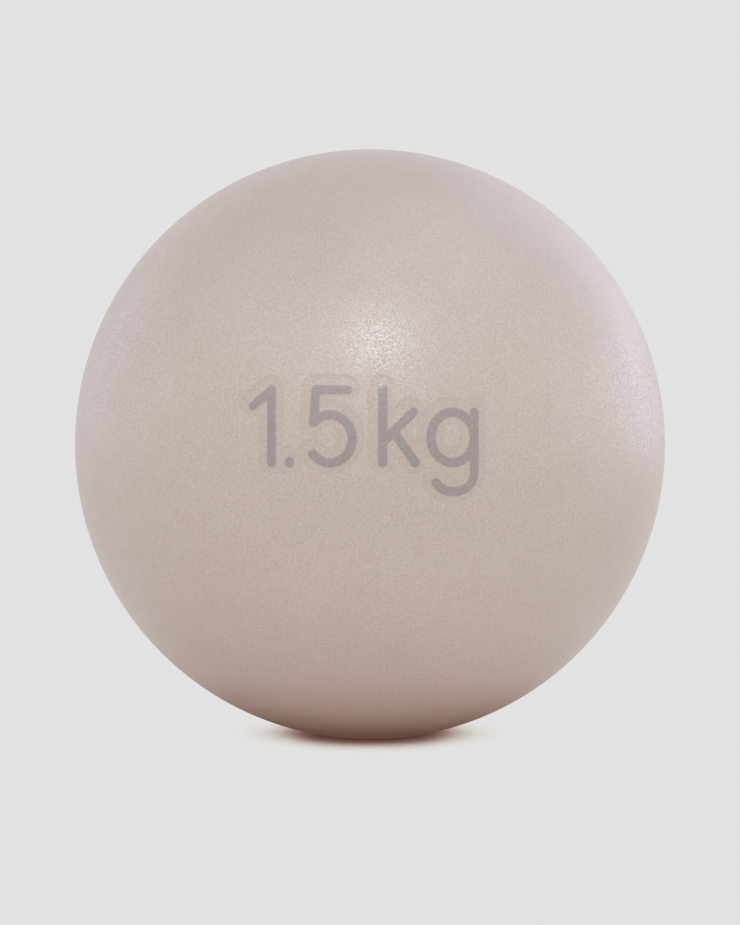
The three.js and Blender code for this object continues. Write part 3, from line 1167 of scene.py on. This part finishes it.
def seen_by(tree, ray, gloss):
    """A mask for rays of the camera, rays through glass and a share of the reflections."""
    straight = maths(tree, "MAXIMUM", ray["Is Camera Ray"], ray["Is Transmission Ray"])
    return maths(tree, "MAXIMUM", straight, gloss)


ray = add_node(tree, "LightPath")
from_ball = vector_maths(tree, "LENGTH", {0: floor_place})["Value"]
open_floor = spread(tree, from_ball, BALL_RADIUS, 2 * BALL_RADIUS)
seen = seen_by(tree, ray, maths(tree, "MULTIPLY", ray["Is Glossy Ray"], open_floor))
shaders = {0: seen, 1: lit_floor[0], 2: seen_floor[0]}
finish_material(tree, shaders, "MixShader")

corners = [(-1, -1), (1, -1), (1, 1), (-1, 1)]
floor_points = [(x * FLOOR_HALF, y * FLOOR_HALF, -FLOOR_DROP) for x, y in corners]
floor = new_piece("floor", floor_points, [(0, 1, 2, 3)])
floor.data.materials.append(floor_material)
print("floor:", 2 * FLOOR_HALF, "m across")

# %% [markdown]
# ## The room
# Round the stage is a plain room of pale walls and a cooler ceiling, which lights the ball from all sides.
# A picture of a studio could stand in for it, but two colours and a smooth step between them do. The camera
# and reflections see the backdrop's grey there, darker towards the ceiling.

# %% World
WALL_LIGHT = (0.66, 0.655, 0.605, 1.0)
CEILING_LIGHT = (0.62, 0.638, 0.71, 1.0)
CEILING_SHADE = 0.65  # how bright the ceiling is seen, against the walls
CEILING_START = 0.25  # how far up a direction of length 1 points
CEILING_END = 0.9

world = bpy.data.worlds.new("studio")
world.use_nodes = True
bpy.context.scene.world = world
tree = world.node_tree
tree.nodes.clear()
ray = add_node(tree, "LightPath")
shown = seen_by(tree, ray, ray["Is Glossy Ray"])
direction = add_node(tree, "TexCoord")["Generated"]
overhead = spread(tree, parts_of(tree, direction)["Z"], CEILING_START, CEILING_END)
seen_level = spread(tree, overhead, 0.0, 1.0, 1.0, CEILING_SHADE)
light_colour = blended(tree, overhead, WALL_LIGHT, CEILING_LIGHT)
backdrop = add_node(tree, "Background", {"Color": BACKDROP, "Strength": seen_level})
sky = add_node(tree, "Background", {"Color": light_colour})
mixed = add_node(tree, "MixShader", {0: shown, 1: sky[0], 2: backdrop[0]})
add_node(tree, "OutputWorld", {"Surface": mixed[0]})
bpy.context.scene.view_settings.view_transform = "Standard"
print("world: walls", WALL_LIGHT[:3], "and ceiling", CEILING_LIGHT[:3])

# %% [markdown]
# ## The lights
# The ball's shading tells where the light comes from. A small softbox above the camera makes the round
# highlight, broad ones high on the left and right light the top, and softboxes at both sides and behind draw
# cool bands along the rim. A single lamp would leave the rim dark. Each stands one metre from the ball, so
# that their powers can be compared.

# %% A softbox on its stand
LIGHT_DISTANCE = 1.0
BROAD = (0.8, 0.8)  # metres, across and up
TALL = (0.5, 0.8)
camera_right = Vector((1, 0, 0))


def softbox(name, direction, size, power, colour):
    """A rectangular lamp, turned towards the ball. Its direction is right, up and forward for the camera."""
    right, up, forward = direction
    towards = (camera_right * right + camera_up * up + to_camera * forward).normalized()
    lamp = bpy.data.lights.new(name, "AREA")
    lamp.shape = "RECTANGLE"
    lamp.size, lamp.size_y = size
    lamp.energy = power
    lamp.color = colour
    stand = new_object(name, lamp)
    stand.location = CENTRE + towards * LIGHT_DISTANCE
    stand.rotation_euler = towards.to_track_quat("Z", "Y").to_euler()
    stand.visible_camera = False
    print("light:", name, power, "W")


print("softboxes stand", LIGHT_DISTANCE, "m from the ball's middle")

# %% The softboxes
softbox("key", (0.04, 0.61, 0.79), size=(0.3, 0.3), power=1.93, colour=(0.785, 0.94, 1.0))
softbox("high_left", (-0.5, 0.6, 0.6), size=(1.0, 0.8), power=1.04, colour=(1.0, 0.965, 0.97))
softbox("high_right", (0.3, 0.85, 0.15), size=BROAD, power=1.09, colour=(0.68, 0.89, 1.0))
softbox("left_side", (-1.0, 0.05, 0.0), size=TALL, power=0.43, colour=(0.97, 0.99, 1.0))
softbox("left_back", (-0.78, 0.1, -0.6), size=TALL, power=0.66, colour=(0.47, 0.67, 1.0))
softbox("right_high", (0.75, 0.5, 0.3), size=BROAD, power=0.53, colour=(1.0, 0.79, 0.63))
softbox("right_side", (1.0, 0.0, 0.0), size=TALL, power=0.75, colour=(0.76, 0.94, 1.0))
softbox("right_back", (0.85, 0.0, -0.5), size=TALL, power=1.42, colour=(0.67, 0.79, 1.0))
softbox("right_rim", (0.65, 0.03, -0.75), size=(0.4, 0.8), power=0.45, colour=(0.75, 0.78, 1.0))
softbox("back_high", (0.6, 0.65, -0.4), size=(0.7, 0.7), power=0.42, colour=(0.35, 0.7, 1.0))
softbox("back_right", (0.5, 0.45, -0.74), size=(0.6, 0.6), power=0.35, colour=(0.85, 0.78, 1.0))
